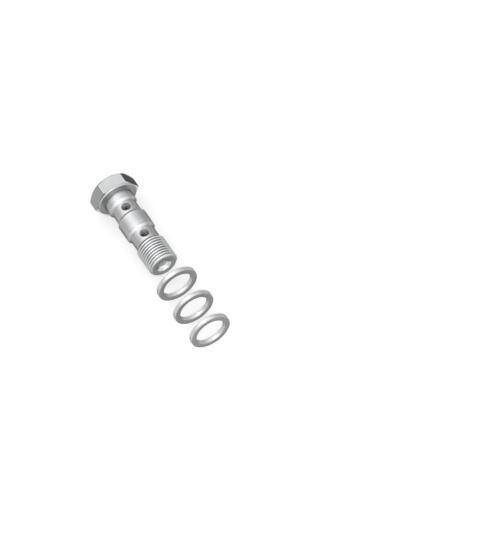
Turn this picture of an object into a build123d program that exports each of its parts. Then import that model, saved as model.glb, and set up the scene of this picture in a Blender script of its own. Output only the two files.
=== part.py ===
"""Double banjo bolt M10 x 1 with its three sealing washers.

The bolt is one turned piece. Its axis is X: x = 0 at the seating face under the head, +X towards the
tip, and Z square to one of the six flats. It lies on the opposite flat, and the washers stand on
their rims in line with it, ready to slide on: one goes under the head, one between the two hose
fittings, and one between the second fitting and the threaded port.
"""
from build123d import *
from math import radians, tan
import os

os.makedirs("parts", exist_ok=True)

# ---- Driving dimensions, in millimetres ----

# Head
across_flats = 14.0
head_height = 5.2  # top of the head to the seating face
head_top_margin = 0.5  # from a flat in to the edge of the round top face
head_chamfer_angle = 40.0  # between the top face and the corner chamfer
seat_ring_height = 0.35  # raised round seat under the hexagon
seat_ring_margin = 0.05  # from a flat in to the wall of that seat
seat_ring_chamfer = 0.25

# Shank, from the head to the tip
thread_diameter = 10.0  # M10 x 1, modelled at its crests; the collar and the land match it
collar_length = 3.3
neck_step = 0.7  # radial depth of both necks below the thread's crests
neck_lead_in = 0.85  # length of the cone down into each neck, on its head side
neck_lead_out = 0.7  # length of the steeper cone back up, on its tip side
first_neck_length = 4.45  # straight part
land_length = 5.75
second_neck_length = 4.7  # straight part
thread_length = 8.7
tip_chamfer = 0.65

# Fluid passages
bore_diameter = 3.2
bore_depth = 27.0  # full diameter, from the tip
drill_point_angle = 118.0
countersink = 1.0  # 45 degrees, at the mouth
cross_hole_diameter = 3.0

# Sealing washers
washer_thickness = 1.5
washer_clearance = 0.1  # radial, over the thread's crests
washer_edge_break = 0.12
tip_to_first_washer = 7.4
washer_pitch = 10.5  # face to face, which is also their spacing once they clamp two hose fittings

# ---- Places that follow from them ----

hexagon_radius = across_flats / 2
thread_radius = thread_diameter / 2
neck_radius = thread_radius - neck_step
bore_radius = bore_diameter / 2

land_start = collar_length + neck_lead_in + first_neck_length + neck_lead_out
land_end = land_start + land_length
thread_start = land_end + neck_lead_in + second_neck_length + neck_lead_out
tip = thread_start + thread_length
necks = [(collar_length, land_start), (land_end, thread_start)]

bore_end = tip - bore_depth
washer_radius = hexagon_radius  # as wide as the flats, so every rim stands level with the head's lowest flat
washer_bore_radius = thread_radius + washer_clearance


def half_section(points, mode=Mode.ADD):
    """Turn a closed outline, given as (distance along X, radius), about the X axis."""
    with BuildSketch(Plane.XZ) as section:
        with BuildLine():
            Polyline(*points, close=True)
        make_face()
    revolve(section.sketch, axis=Axis.X, mode=mode)


# ---- Bolt ----

with BuildPart() as banjo_bolt:
    # Hexagon, with its six corners chamfered by a cone round the top face
    with BuildSketch(Plane.YZ.offset(-head_height)):
        RegularPolygon(radius=hexagon_radius, side_count=6, major_radius=False)
    extrude(amount=head_height - seat_ring_height)
    top_radius = hexagon_radius - head_top_margin
    envelope_radius = across_flats  # anywhere outside the corners
    envelope_drop = (envelope_radius - top_radius) * tan(radians(head_chamfer_angle))
    half_section(
        [
            (-head_height, 0),
            (-head_height, top_radius),
            (-head_height + envelope_drop, envelope_radius),
            (head_height, envelope_radius),
            (head_height, 0),
        ],
        mode=Mode.INTERSECT,
    )

    # Raised seat under the hexagon
    seat_radius = hexagon_radius - seat_ring_margin
    half_section(
        [
            (-seat_ring_height, 0),
            (-seat_ring_height, seat_radius),
            (-seat_ring_chamfer, seat_radius),
            (0, seat_radius - seat_ring_chamfer),
            (0, 0),
        ]
    )

    # Shank: collar, neck, land, neck and thread, with a cone at both ends of each neck
    outline = [(-seat_ring_height, 0), (-seat_ring_height, thread_radius)]
    for neck_from, neck_to in necks:
        outline += [
            (neck_from, thread_radius),
            (neck_from + neck_lead_in, neck_radius),
            (neck_to - neck_lead_out, neck_radius),
            (neck_to, thread_radius),
        ]
    outline += [
        (tip - tip_chamfer, thread_radius),
        (tip, thread_radius - tip_chamfer),
        (tip, 0),
    ]
    half_section(outline)

    # Blind bore from the tip, with a countersunk mouth and a drill point at its end
    drill_point_length = bore_radius / tan(radians(drill_point_angle / 2))
    half_section(
        [
            (bore_end - drill_point_length, 0),
            (bore_end, bore_radius),
            (tip - countersink, bore_radius),
            (tip, bore_radius + countersink),
            (tip, 0),
        ],
        mode=Mode.SUBTRACT,
    )

    # One cross hole through both walls, in the middle of each neck, square to the upper flat
    for neck_from, neck_to in necks:
        with Locations(((neck_from + neck_to) / 2, 0, 0)):
            Cylinder(radius=cross_hole_diameter / 2, height=thread_diameter, mode=Mode.SUBTRACT)

banjo_bolt.part.label = "banjo_bolt"
export_step(banjo_bolt.part, "parts/banjo_bolt.step")

# ---- Sealing washers ----

for index, washer_name in enumerate(["head_washer", "middle_washer", "end_washer"]):
    near_face = tip + tip_to_first_washer + index * washer_pitch
    with BuildPart() as sealing_washer:
        with BuildSketch(Plane.YZ.offset(near_face)):
            Circle(washer_radius)
            Circle(washer_bore_radius, mode=Mode.SUBTRACT)
        extrude(amount=washer_thickness)
        chamfer(sealing_washer.edges().filter_by(GeomType.CIRCLE), washer_edge_break)
    sealing_washer.part.label = washer_name
    export_step(sealing_washer.part, f"parts/{washer_name}.step")
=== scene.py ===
"""Looks of the double banjo bolt M10 x 1 and its three sealing washers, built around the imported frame."""
from itertools import pairwise
from math import cos, pi, radians, sin, sqrt, tan

import bmesh
import bpy
from mathutils import Matrix, Vector


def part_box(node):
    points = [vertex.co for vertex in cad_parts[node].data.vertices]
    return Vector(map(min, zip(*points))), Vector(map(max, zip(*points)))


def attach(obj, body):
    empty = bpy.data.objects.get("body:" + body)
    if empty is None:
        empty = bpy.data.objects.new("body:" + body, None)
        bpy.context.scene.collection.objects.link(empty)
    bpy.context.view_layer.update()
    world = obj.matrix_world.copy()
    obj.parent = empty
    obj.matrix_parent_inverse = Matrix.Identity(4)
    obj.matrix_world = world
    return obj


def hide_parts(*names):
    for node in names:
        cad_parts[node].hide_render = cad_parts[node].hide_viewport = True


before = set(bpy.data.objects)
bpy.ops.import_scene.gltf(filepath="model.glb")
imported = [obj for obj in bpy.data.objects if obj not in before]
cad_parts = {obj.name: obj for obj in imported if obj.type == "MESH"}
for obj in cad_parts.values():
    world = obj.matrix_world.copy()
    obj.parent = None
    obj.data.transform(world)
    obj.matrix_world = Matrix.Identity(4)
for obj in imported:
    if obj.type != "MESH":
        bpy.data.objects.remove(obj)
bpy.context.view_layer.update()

METRES = 0.001  # one millimetre; new pieces are modelled in millimetres and scaled once, at the end

# ---- Sizes, in millimetres ----

bolt_low, bolt_high = (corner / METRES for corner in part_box("banjo_bolt"))

# Head
head_top = bolt_low.x
flat_distance = bolt_high.z  # from the axis to a flat
top_margin = 0.5  # from a flat in to the edge of the round top face
corner_chamfer_angle = radians(40)
seat_ring_height = 0.35
seat_ring_radius = flat_distance - 0.05
seat_ring_chamfer = 0.25
hexagon_corner_round = 0.12

# Shank
tip = bolt_high.x
thread_radius = 5.0
neck_radius = 4.3
collar_end = 3.3
land_start, land_end = 9.3, 15.05
thread_start = 21.3
necks = [(collar_end, land_start), (land_end, thread_start)]
neck_lead_in, neck_lead_out = 0.85, 0.7
tip_chamfer = 0.65
turned_edge_round = 0.07

# Passages
bore_radius = 1.6
bore_end = 3.0
drill_point_angle = radians(118)
countersink = 1.0
cross_hole_radius = 1.5
cross_hole_deburr = 0.12

# Thread M10 x 1
pitch = 1.0
crest_flat = 0.2 * pitch
root_flat = 0.1 * pitch
flank_angle = radians(30)  # between a flank and the plane square to the axis
thread_depth = 0.6134 * pitch
crest_round = 0.03

# Washers
washer_clearance = 0.1  # radial, over the thread's crests
washer_edge_round = 0.15
washer_face_relief = 0.01  # off each face, so washers that touch keep a hair's breadth between them

# Fineness of the meshes
turn_steps = 192  # facets round a turned surface
helix_steps = 96  # facets in one turn of the thread's groove
merge_distance = 1e-4
sharp_angle = radians(38)


# ---- Mesh tools ----

def new_piece(name, bm):
    """Make an object from a bmesh that is in millimetres."""
    mesh = bpy.data.meshes.new(name)
    bm.to_mesh(mesh)
    bm.free()
    piece = bpy.data.objects.new(name, mesh)
    bpy.context.scene.collection.objects.link(piece)
    return piece


def turned(name, outline, edge_round, closed=False):
    """Spin an outline of (x, radius) points about the X axis, with its corners rounded."""
    bm = bmesh.new()
    points = [bm.verts.new((x, 0, radius)) for x, radius in outline]
    for start, end in pairwise(points + points[:1] if closed else points):
        bm.edges.new((start, end))
    corners = [point for point in points if len(point.link_edges) == 2]
    bmesh.ops.bevel(
        bm, geom=corners, offset=edge_round, segments=3, profile=0.5, affect="VERTICES", material=-1
    )
    bmesh.ops.spin(
        bm, geom=bm.verts[:] + bm.edges[:], axis=(1, 0, 0), cent=(0, 0, 0), angle=2 * pi, steps=turn_steps,
        use_merge=True,
    )
    bmesh.ops.remove_doubles(bm, verts=bm.verts[:], dist=merge_distance)
    bmesh.ops.recalc_face_normals(bm, faces=bm.faces[:])
    return new_piece(name, bm)


def apply_modifiers(piece):
    """Replace a piece's mesh by what its modifiers make of it."""
    evaluated = piece.evaluated_get(bpy.context.evaluated_depsgraph_get())
    mesh = bpy.data.meshes.new_from_object(evaluated)
    piece.modifiers.clear()
    piece.data = mesh


def combine(piece, tool, operation):
    """Add, cut or intersect another closed piece, which is then deleted."""
    modifier = piece.modifiers.new(operation, "BOOLEAN")
    modifier.operation = operation
    modifier.solver = "EXACT"
    modifier.object = tool
    apply_modifiers(piece)
    bpy.data.objects.remove(tool)


# ---- Marks on the mesh: each says whether a face at this place, in millimetres, belongs to a region ----

def off_axis(place):
    """Distance from the X axis."""
    return sqrt(place.y**2 + place.z**2)


def hexagon_face(place, normal):
    """One of the six flats or the rounds between them."""
    return place.x < -seat_ring_height and abs(normal.x) < 0.1


def end_face(place, normal):
    """A face square to the axis."""
    return abs(normal.x) > 0.95


def passage_face(place, normal):
    """The wall of the bore or of a cross hole."""
    if off_axis(place) < bore_radius + 0.1 and place.x < tip - countersink:
        return True
    if off_axis(place) > neck_radius - 0.2 or abs(normal.z) > 0.5:
        return False
    return any(
        sqrt((place.x - (start + end) / 2) ** 2 + place.y**2) < cross_hole_radius + 0.05
        for start, end in necks
    )


def thread_face(place, normal):
    """The thread's crest, flanks or root."""
    return thread_start < place.x < tip - tip_chamfer and off_axis(place) > neck_radius + 0.03


def countersink_face(place, normal):
    """The cone at the bore's mouth, which faces the axis."""
    inwards = place.y * normal.y + place.z * normal.z < 0
    return inwards and tip - countersink < place.x < tip and off_axis(place) < bore_radius + countersink


regions = {
    "hexagon": hexagon_face,
    "end_face": end_face,
    "passage": passage_face,
    "thread": thread_face,
    "countersink": countersink_face,
}


def mark_rounded_edges(bm, widest_strip=0.09, turn_from=radians(8), turn_full=radians(20)):
    """Mark the corners of narrow faces by how far the surface turns outwards there."""
    edge = bm.loops.layers.float.new("edge")
    for face in bm.faces:
        narrow = face.calc_area() < widest_strip / 2 * face.calc_perimeter()
        for corner in face.loops:
            turn = max(side.calc_face_angle_signed(0) for side in corner.vert.link_edges)
            corner[edge] = narrow * min(1, max(0, (turn - turn_from) / (turn_full - turn_from)))


def finish_mesh(piece):
    """Clean the mesh, mark its regions, scale it to metres and keep flat faces flat beside rounded edges."""
    bm = bmesh.new()
    bm.from_mesh(piece.data)
    bmesh.ops.remove_doubles(bm, verts=bm.verts[:], dist=merge_distance)
    bmesh.ops.dissolve_degenerate(bm, edges=bm.edges[:], dist=merge_distance)
    bm.normal_update()
    for name, belongs in regions.items():
        layer = bm.faces.layers.float.new(name)
        for face in bm.faces:
            face[layer] = float(belongs(face.calc_center_median(), face.normal))
    mark_rounded_edges(bm)
    for face in bm.faces:
        face.smooth = True
    bmesh.ops.scale(bm, vec=(METRES, METRES, METRES), verts=bm.verts[:])
    bm.to_mesh(piece.data)
    bm.free()
    piece.data.set_sharp_from_angle(angle=sharp_angle)
    weighted = piece.modifiers.new("flat_faces", "WEIGHTED_NORMAL")
    weighted.keep_sharp = True
    apply_modifiers(piece)


def round_off_normals(piece, radii, tolerance=0.002):
    """Square the normals of these cylinders about X to their axis, where cross holes would bend them."""
    mesh = piece.data
    normals = [corner.vector.copy() for corner in mesh.corner_normals]
    for face in mesh.polygons:
        corners = [mesh.vertices[index].co / METRES for index in face.vertices]
        if not any(all(abs(off_axis(corner) - radius) < tolerance for corner in corners) for radius in radii):
            continue
        for loop, corner in zip(face.loop_indices, corners):
            outwards = Vector((0, corner.y, corner.z)).normalized()
            normals[loop] = outwards if outwards.dot(face.normal) > 0 else -outwards
    mesh.normals_split_custom_set(normals)


# ---- Bolt ----

def hexagon_head():
    """Hexagon with rounded corners, under the cone that chamfers them at the top face."""
    corner_radius = flat_distance / cos(pi / 6)
    bm = bmesh.new()
    bmesh.ops.create_cone(
        bm, segments=6, radius1=corner_radius, radius2=corner_radius, depth=-head_top - seat_ring_height,
        cap_ends=True,
    )
    turn_x = Matrix.Rotation(pi / 2, 4, "Y")
    bmesh.ops.transform(bm, matrix=turn_x, verts=bm.verts[:])
    bmesh.ops.translate(bm, vec=((head_top - seat_ring_height) / 2, 0, 0), verts=bm.verts[:])
    along = [edge for edge in bm.edges if abs(edge.verts[0].co.x - edge.verts[1].co.x) > 1]
    bmesh.ops.bevel(
        bm, geom=along, offset=hexagon_corner_round, segments=3, profile=0.5, affect="EDGES", material=-1
    )
    head = new_piece("head", bm)

    top_radius = flat_distance - top_margin
    beyond_corners = 2 * flat_distance
    beyond_seat = 20
    cone_end = head_top + (beyond_corners - top_radius) * tan(corner_chamfer_angle)
    envelope = turned(
        "envelope",
        [
            (head_top, 0),
            (head_top, top_radius),
            (cone_end, beyond_corners),
            (beyond_seat, beyond_corners),
            (beyond_seat, 0),
        ],
        turned_edge_round,
    )
    combine(head, envelope, "INTERSECT")
    return head


def shank():
    """Seat ring, collar, necks, land, thread blank and bore, as one turned body."""
    inside_head = -2
    outline = [
        (inside_head, 0),
        (inside_head, seat_ring_radius),
        (-seat_ring_chamfer, seat_ring_radius),
        (0, seat_ring_radius - seat_ring_chamfer),
        (0, thread_radius),
    ]
    for start, end in necks:
        outline += [
            (start, thread_radius),
            (start + neck_lead_in, neck_radius),
            (end - neck_lead_out, neck_radius),
            (end, thread_radius),
        ]
    outline += [
        (tip - tip_chamfer, thread_radius),
        (tip, thread_radius - tip_chamfer),
        (tip, bore_radius + countersink),
        (tip - countersink, bore_radius),
        (bore_end, bore_radius),
        (bore_end - bore_radius / tan(drill_point_angle / 2), 0),
    ]
    return turned("shank", outline, turned_edge_round)


def cross_hole(x):
    """Cutter for one cross hole along Z, whose two mouths are deburred along the neck's round wall."""
    flare_radius = cross_hole_radius + 3 * cross_hole_deburr
    flare_height = neck_radius + 0.6 * cross_hole_deburr
    beyond_neck = 6
    half = [
        (neck_radius, cross_hole_radius),
        (flare_height, flare_radius),
        (beyond_neck, flare_radius),
        (beyond_neck, 0),
    ]
    outline = [(-height, radius) for height, radius in reversed(half)] + half
    cutter = turned("cross_hole", outline, cross_hole_deburr)
    off_the_seam = 0.3 * 2 * pi / turn_steps  # keeps its corners away from the bore's
    cutter.data.transform(Matrix.Rotation(off_the_seam, 4, "X"))
    for vertex in cutter.data.vertices:
        height, y, _ = vertex.co
        if abs(height) < thread_radius:
            sagitta = neck_radius - sqrt(neck_radius**2 - y**2)
            vertex.co.x -= sagitta if height > 0 else -sagitta
    cutter.data.transform(Matrix.Translation((x, 0, 0)) @ Matrix.Rotation(-pi / 2, 4, "Y"))
    return cutter


def thread_groove():
    """Cutter for the thread: the groove's section, turned along a right-hand helix."""
    root_radius = thread_radius - thread_depth
    beyond_crest = thread_radius + 0.12
    flank_end = (pitch - crest_flat) / 2 - crest_round * tan(flank_angle)
    half = [
        (root_flat / 2, root_radius),
        (flank_end, thread_radius - crest_round),
        (flank_end + crest_round, thread_radius),
        (flank_end + crest_round, beyond_crest),
    ]
    start = thread_start - neck_lead_out - pitch / 2
    turns = 11  # from the neck out past the tip
    bm = bmesh.new()
    section = [(-width, radius) for width, radius in reversed(half)] + half
    corners = [bm.verts.new((start + width, 0, radius)) for width, radius in section]
    bm.faces.new(corners)
    bmesh.ops.spin(
        bm, geom=bm.verts[:] + bm.edges[:] + bm.faces[:], axis=(1, 0, 0), cent=(0, 0, 0),
        dvec=(pitch / helix_steps, 0, 0), angle=2 * pi * turns, steps=helix_steps * turns,
    )
    open_edges = [edge for edge in bm.edges if edge.is_boundary]
    bmesh.ops.holes_fill(bm, edges=open_edges, sides=0)
    bmesh.ops.recalc_face_normals(bm, faces=bm.faces[:])
    return new_piece("thread_groove", bm)


def banjo_bolt():
    """The whole bolt as one closed piece."""
    bolt = shank()
    combine(bolt, hexagon_head(), "UNION")
    for start, end in necks:
        combine(bolt, cross_hole((start + end) / 2), "DIFFERENCE")
    combine(bolt, thread_groove(), "DIFFERENCE")
    finish_mesh(bolt)
    round_off_normals(bolt, [neck_radius, bore_radius])
    bolt.name = "dressed_bolt"
    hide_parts("banjo_bolt")
    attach(bolt, "bolt")
    return bolt


# ---- Washers ----

def sealing_washer(node):
    """Flat ring with rounded edges."""
    low, high = (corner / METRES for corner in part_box(node))
    bore = thread_radius + washer_clearance
    near, far = low.x + washer_face_relief, high.x - washer_face_relief
    ring = turned(
        "dressed_" + node,
        [(near, bore), (near, high.z), (far, high.z), (far, bore)],
        washer_edge_round,
        closed=True,
    )
    finish_mesh(ring)
    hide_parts(node)
    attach(ring, node)
    return ring


# ---- Shader tools ----

def add_node(tree, kind, inputs=None, **settings):
    """Add a shader node; each input is a plain value or the output socket that feeds it."""
    node = tree.nodes.new("ShaderNode" + kind)
    for name, value in settings.items():
        setattr(node, name, value)
    for name, value in (inputs or {}).items():
        if isinstance(value, bpy.types.NodeSocket):
            tree.links.new(value, node.inputs[name])
        else:
            node.inputs[name].default_value = value
    return node


def math_node(tree, operation, *values):
    """Add a Math node and return its output."""
    node = add_node(tree, "Math", dict(enumerate(values)), operation=operation)
    return node.outputs[0]


def mix(tree, factor, first, second):
    """Mix two floats and return the result."""
    node = add_node(tree, "Mix", {"Factor": factor, "A": first, "B": second}, data_type="FLOAT")
    return node.outputs["Result"]


def blend(tree, factor, first, second):
    """Mix two colours, each (red, green, blue) or an output socket, and return the result."""
    colours = {
        name: (*colour, 1) if isinstance(colour, tuple) else colour
        for name, colour in (("A", first), ("B", second))
    }
    node = add_node(tree, "Mix", {"Factor": factor, **colours}, data_type="RGBA")
    return node.outputs["Result"]


def shaded(tree, colour, shade):
    """A colour times a float."""
    return add_node(tree, "VectorMath", {0: colour, "Scale": shade}, operation="SCALE").outputs["Vector"]


def remap(tree, value, low, high):
    """Stretch the middle of a noise, from 0.3 to 0.7, over low to high."""
    node = add_node(tree, "MapRange", {
        "Value": value, "From Min": 0.3, "From Max": 0.7, "To Min": low, "To Max": high,
    })
    return node.outputs["Result"]


def nearness(tree, direction, toward):
    """Cosine of the angle between two directions."""
    return add_node(tree, "VectorMath", {0: direction, 1: toward}, operation="DOT_PRODUCT").outputs["Value"]


def mask(tree, name):
    """A mask that the mesh carries as an attribute."""
    return add_node(tree, "Attribute", attribute_name=name).outputs["Fac"]


def millimetres(tree):
    """Object coordinates in millimetres, as three outputs."""
    place = add_node(tree, "TexCoord").outputs["Object"]
    return add_node(tree, "SeparateXYZ", {0: shaded(tree, place, 1 / METRES)}).outputs


def effect_group(name, settings, results):
    """Start a node group whose float inputs have defaults; returns it with its input and output nodes."""
    group = bpy.data.node_groups.new(name, "ShaderNodeTree")
    for socket, default in settings.items():
        entry = group.interface.new_socket(socket, in_out="INPUT", socket_type="NodeSocketFloat")
        entry.default_value = default
    for socket in results:
        group.interface.new_socket(socket, in_out="OUTPUT", socket_type="NodeSocketFloat")
    return group, group.nodes.new("NodeGroupInput"), group.nodes.new("NodeGroupOutput")


def place_group(tree, group, **values):
    """Place a node group in a material with its own values."""
    node = tree.nodes.new("ShaderNodeGroup")
    node.node_tree = group
    for name, value in values.items():
        node.inputs[name.replace("_", " ")].default_value = value
    return node


# ---- Finishes ----

def turning_marks():
    """Tool marks round the X axis, on cylinders, cones and end faces alike, with slow bands in tone."""
    results = ["Height", "Tone", "Radius"]
    group, given, result = effect_group("turning_marks", {"Feed": 0.12, "Band": 1.5}, results)
    x, y, z = millimetres(group)
    squares = [math_node(group, "MULTIPLY", place, place) for place in (y, z)]
    radius = math_node(group, "SQRT", math_node(group, "ADD", *squares))
    group.links.new(radius, result.inputs["Radius"])
    never_zero = math_node(group, "ADD", radius, 0.1)
    around = math_node(group, "DIVIDE", z, never_zero)
    for spacing, waver, detail, socket in (("Feed", 0.2, 2.0, "Height"), ("Band", 0.5, 1.0, "Tone")):
        size = given.outputs[spacing]
        where = add_node(group, "CombineXYZ", {
            "X": math_node(group, "DIVIDE", x, size),
            "Y": math_node(group, "DIVIDE", radius, size),
            "Z": math_node(group, "MULTIPLY", around, waver),
        })
        marks = add_node(group, "TexNoise", {"Vector": where.outputs[0], "Scale": 1.0, "Detail": detail})
        group.links.new(marks.outputs["Fac"], result.inputs[socket])
    return group


def fine_grain():
    """Grain drawn out along one direction, with a slow clouding in tone."""
    settings = {"Size": 0.08, "Draw X": 8.0, "Draw Y": 1.0, "Cloud": 4.0}
    group, given, result = effect_group("fine_grain", settings, ["Height", "Tone"])
    x, y, z = millimetres(group)
    size = given.outputs["Size"]
    where = add_node(group, "CombineXYZ", {
        "X": math_node(group, "DIVIDE", x, math_node(group, "MULTIPLY", size, given.outputs["Draw X"])),
        "Y": math_node(group, "DIVIDE", y, math_node(group, "MULTIPLY", size, given.outputs["Draw Y"])),
        "Z": math_node(group, "DIVIDE", z, size),
    })
    grain = add_node(group, "TexNoise", {"Vector": where.outputs[0], "Scale": 1.0, "Detail": 2.0})
    group.links.new(grain.outputs["Fac"], result.inputs["Height"])
    slow = add_node(group, "CombineXYZ", {
        axis: math_node(group, "DIVIDE", place, given.outputs["Cloud"])
        for axis, place in zip("XYZ", (x, y, z))
    })
    clouds = add_node(group, "TexNoise", {"Vector": slow.outputs[0], "Scale": 1.0, "Detail": 3.0})
    group.links.new(clouds.outputs["Fac"], result.inputs["Tone"])
    return group


def metal(name):
    """A new material with a metal shader, darker towards its silhouette."""
    edge_tint = 0.05
    material = bpy.data.materials.new(name)
    material.use_nodes = True
    tree = material.node_tree
    shader = tree.nodes["Principled BSDF"]
    shader.inputs["Metallic"].default_value = 1
    shader.inputs["Specular Tint"].default_value = (edge_tint, edge_tint, edge_tint, 1)
    return material, tree, shader


def zinc_plated_steel():
    """Satin plate over turned steel with drawn hexagon flats, faced ends and duller passages; painted shade
    darkens the flats, the end faces and the thread's roots, painted highlights brighten the thread's crests
    and the bore's mouth, and the passages are painted lighter, partly bare steel and partly painted light.
    """
    dark_plate, light_plate = (0.425, 0.428, 0.433), (0.465, 0.468, 0.472)
    # The passages' bare steel is partly painted light, lighter than the plate to lift the shade in the holes.
    worn_plate, bare_steel_with_painted_light = (0.58, 0.582, 0.585), (0.66, 0.66, 0.66)
    # Painted shade: the hexagon's flats and the end faces are made darker; the countersink's factor is a
    # painted highlight.
    painted_flat_shade, painted_end_shade, painted_mouth_highlight = 0.76, 0.78, 1.5
    # Painted highlight on the thread's crests, painted shade in its roots.
    painted_crest_highlight, painted_root_shade = 1.22, 0.9
    edge_wear = 0.6
    passage_metallic, bore_metallic = 0.7, 0.3
    bump_height = 0.002 * METRES

    material, tree, shader = metal("zinc_plated_steel")
    turned_finish = place_group(tree, turning_group, Feed=0.14, Band=1.6).outputs
    drawn_finish = place_group(tree, grain_group, Size=0.07, Draw_X=9.0, Cloud=5.0).outputs
    on_hexagon, on_end, in_passage, on_thread, on_countersink, on_edge = (
        mask(tree, name) for name in ("hexagon", "end_face", "passage", "thread", "countersink", "edge")
    )

    tone = mix(tree, on_hexagon, turned_finish["Tone"], drawn_finish["Tone"])
    plate = blend(tree, remap(tree, tone, 0.0, 1.0), dark_plate, light_plate)
    depth = add_node(tree, "MapRange", {
        "Value": turned_finish["Radius"],
        "From Min": thread_radius - 0.1,
        "From Max": thread_radius - thread_depth,
    }).outputs["Result"]
    # Painted shade darkens the end faces and the hexagon's flats.
    shade = mix(tree, on_end, mix(tree, on_hexagon, 1.0, painted_flat_shade), painted_end_shade)
    # Painted highlight on the thread's crests, painted shade in its roots.
    shade = mix(tree, on_thread, shade, mix(tree, depth, painted_crest_highlight, painted_root_shade))
    # Painted highlight on the bore's mouth.
    shade = mix(tree, on_countersink, shade, painted_mouth_highlight)
    wear = math_node(tree, "MULTIPLY", on_edge, edge_wear)
    colour = blend(tree, wear, shaded(tree, plate, shade), worn_plate)
    # Passages painted lighter: partly bare drilled steel, partly painted light in the holes' shade.
    colour = blend(tree, in_passage, colour, bare_steel_with_painted_light)
    tree.links.new(colour, shader.inputs["Base Color"])

    height = mix(tree, on_hexagon, turned_finish["Height"], drawn_finish["Height"])
    rough = mix(tree, on_hexagon, remap(tree, height, 0.33, 0.42), remap(tree, height, 0.22, 0.28))
    rough = mix(tree, math_node(tree, "MAXIMUM", on_edge, on_countersink), rough, 0.3)
    rough = mix(tree, in_passage, rough, 0.5)
    tree.links.new(rough, shader.inputs["Roughness"])

    in_bore = math_node(tree, "LESS_THAN", turned_finish["Radius"], bore_radius + 0.1)
    metallic = mix(tree, in_passage, 1.0, mix(tree, in_bore, passage_metallic, bore_metallic))
    tree.links.new(metallic, shader.inputs["Metallic"])
    bump = add_node(tree, "Bump", {"Height": height, "Distance": bump_height, "Strength": 1.0})
    tree.links.new(bump.outputs["Normal"], shader.inputs["Normal"])
    return material


def soft_aluminium():
    """Rolled sheet metal, lightly tumbled, with a fine straight grain; painted shade darkens the faces, so
    the rims stand out brighter.
    """
    dark_metal, light_metal = (0.6, 0.602, 0.606), (0.66, 0.662, 0.665)
    # Painted shade darkens the washers' faces against their rims.
    painted_face_shade = 0.53
    bump_height = 0.0015 * METRES

    material, tree, shader = metal("soft_aluminium")
    finish = place_group(tree, grain_group, Size=0.06, Draw_X=1.0, Draw_Y=10.0, Cloud=3.0).outputs
    on_end, on_edge = (mask(tree, name) for name in ("end_face", "edge"))
    plain = blend(tree, remap(tree, finish["Tone"], 0.0, 1.0), dark_metal, light_metal)
    # Painted shade on the washers' faces.
    colour = shaded(tree, plain, mix(tree, on_end, 1.0, painted_face_shade))
    tree.links.new(colour, shader.inputs["Base Color"])
    rough = mix(tree, on_edge, remap(tree, finish["Height"], 0.36, 0.46), 0.3)
    tree.links.new(rough, shader.inputs["Roughness"])
    bump = add_node(tree, "Bump", {"Height": finish["Height"], "Distance": bump_height, "Strength": 1.0})
    tree.links.new(bump.outputs["Normal"], shader.inputs["Normal"])
    return material


def white_paint():
    """Matt white that the camera and mirrors see lifted towards white, and that keeps its shadow."""
    lift = 0.5
    material = bpy.data.materials.new("white_floor")
    material.use_nodes = True
    tree = material.node_tree
    paint = tree.nodes["Principled BSDF"]
    paint.inputs["Base Color"].default_value = (0.9, 0.9, 0.9, 1)
    paint.inputs["Roughness"].default_value = 0.9
    paint.inputs["Specular IOR Level"].default_value = 0.1
    ray = add_node(tree, "LightPath").outputs
    mirrored = math_node(tree, "MAXIMUM", ray["Is Glossy Ray"], ray["Is Transmission Ray"])
    seen = math_node(tree, "MAXIMUM", ray["Is Camera Ray"], mirrored)
    glow = add_node(tree, "Emission", {"Color": (1, 1, 1, 1), "Strength": 1.0}).outputs["Emission"]
    lifted = add_node(tree, "MixShader", {
        0: math_node(tree, "MULTIPLY", seen, lift), 1: paint.outputs["BSDF"], 2: glow,
    })
    tree.links.new(lifted.outputs["Shader"], tree.nodes["Material Output"].inputs["Surface"])
    return material


# ---- Camera and light ----

view_azimuth = radians(71.16)
view_elevation = radians(57.785)
view_roll = radians(-13.22)
view_height = 170.3 * METRES  # what the frame takes in, from its foot to its top
lens, sensor = 800, 36

back = Vector((
    sin(view_azimuth) * cos(view_elevation),
    -cos(view_azimuth) * cos(view_elevation),
    sin(view_elevation),
))


def place_camera():
    """A very long lens, so that the washers keep their size down the line."""
    level_right = Vector((cos(view_azimuth), sin(view_azimuth), 0))
    level_up = back.cross(level_right)
    turn = Matrix((level_right, level_up, back)).transposed() @ Matrix.Rotation(view_roll, 3, "Z")
    right, up, _ = turn.col
    aim = Vector((10.22, 0, 0)) * METRES + 33.98 * METRES * right - 14.247 * METRES * up

    camera_data = bpy.data.cameras.new("camera")
    camera_data.lens = lens
    camera_data.sensor_width = sensor
    camera_data.clip_end = 20
    camera = bpy.data.objects.new("camera", camera_data)
    bpy.context.scene.collection.objects.link(camera)
    camera.matrix_world = Matrix.Translation(aim + back * view_height * lens / sensor) @ turn.to_4x4()
    bpy.context.scene.camera = camera


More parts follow.
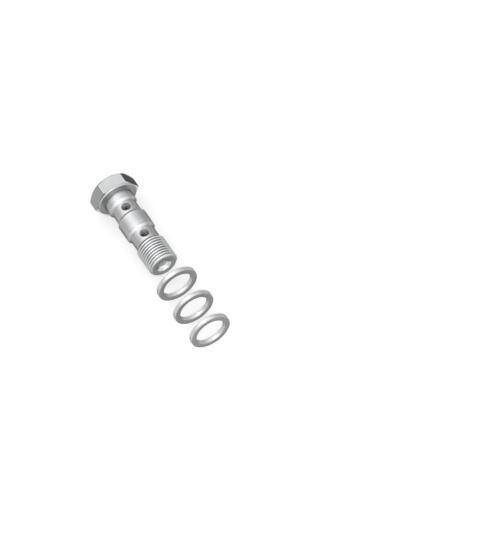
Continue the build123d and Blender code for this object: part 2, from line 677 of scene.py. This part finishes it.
def studio_world(brightness=3.2, dim=0.15):
    """Two long soft panels that fade away from the viewing side, two round lamps and a pale horizon."""
    panel_stops = (
        (-0.82, dim), (-0.62, 1), (-0.38, 1), (-0.18, dim),
        (0.27, dim), (0.47, 0.85), (0.999, 0.85),
    )  # each a direction's X, and the level there
    round_lamps = (
        (back, 0.955, 2.1),
        (Vector((-0.5, -0.25, 0.829)), 0.86, 0.7),
    )  # each a direction, the cosine at which its glow ends, and its level
    lamp_core = 0.99  # the cosine inside which a round lamp is at its full level

    world = bpy.data.worlds.new("studio")
    bpy.context.scene.world = world
    world.use_nodes = True
    tree = world.node_tree
    direction = add_node(tree, "TexCoord").outputs["Generated"]
    along, _, height = add_node(tree, "SeparateXYZ", {0: direction}).outputs
    facing = nearness(tree, direction, back)
    fade = math_node(tree, "POWER", math_node(tree, "MULTIPLY_ADD", facing, 0.5, 0.5), 1.5)

    panels = add_node(tree, "ValToRGB", {"Fac": math_node(tree, "MULTIPLY_ADD", along, 0.5, 0.5)})
    ramp = panels.color_ramp
    ramp.interpolation = "EASE"
    ramp.elements[0].color = ramp.elements[-1].color = (dim, dim, dim, 1)
    for x, level in panel_stops:
        ramp.elements.new((x + 1) / 2).color = (level, level, level, 1)
    light = math_node(tree, "MULTIPLY", fade, panels.outputs["Color"])
    light = math_node(tree, "MULTIPLY", light, brightness)

    behind_head = math_node(tree, "LESS_THAN", along, 0.0)
    low_dimming = add_node(tree, "MapRange", {
        "Value": height, "From Min": 0.0, "From Max": 0.3, "To Min": 0.3, "To Max": 1.0,
    }).outputs["Result"]
    light = math_node(tree, "MULTIPLY", light, mix(tree, behind_head, 1.0, low_dimming))

    for toward, reach, level in round_lamps:
        lamp = add_node(tree, "MapRange", {
            "Value": nearness(tree, direction, toward),
            "From Min": reach, "From Max": lamp_core, "To Min": 0.0, "To Max": level,
        }, interpolation_type="SMOOTHSTEP")
        light = math_node(tree, "ADD", light, lamp.outputs["Result"])

    horizon = add_node(tree, "MapRange", {
        "Value": height, "From Min": 0.035, "From Max": 0.07, "To Min": 0.9, "To Max": 0.0,
    }).outputs["Result"]
    light = math_node(tree, "MAXIMUM", light, horizon)
    tree.links.new(light, tree.nodes["Background"].inputs["Color"])


# ---- The scene ----

turning_group = turning_marks()
grain_group = fine_grain()

bolt = banjo_bolt()
bolt.data.materials.clear()
bolt.data.materials.append(zinc_plated_steel())
aluminium = soft_aluminium()
for node in ("head_washer", "middle_washer", "end_washer"):
    ring = sealing_washer(node)
    ring.data.materials.append(aluminium)

bm = bmesh.new()
bmesh.ops.create_grid(bm, x_segments=1, y_segments=1, size=3)
bmesh.ops.translate(bm, vec=(0, 0, bolt_low.z * METRES), verts=bm.verts[:])
floor = new_piece("floor", bm)
floor.data.materials.append(white_paint())

place_camera()
studio_world()
bpy.context.scene.view_settings.view_transform = "Standard"
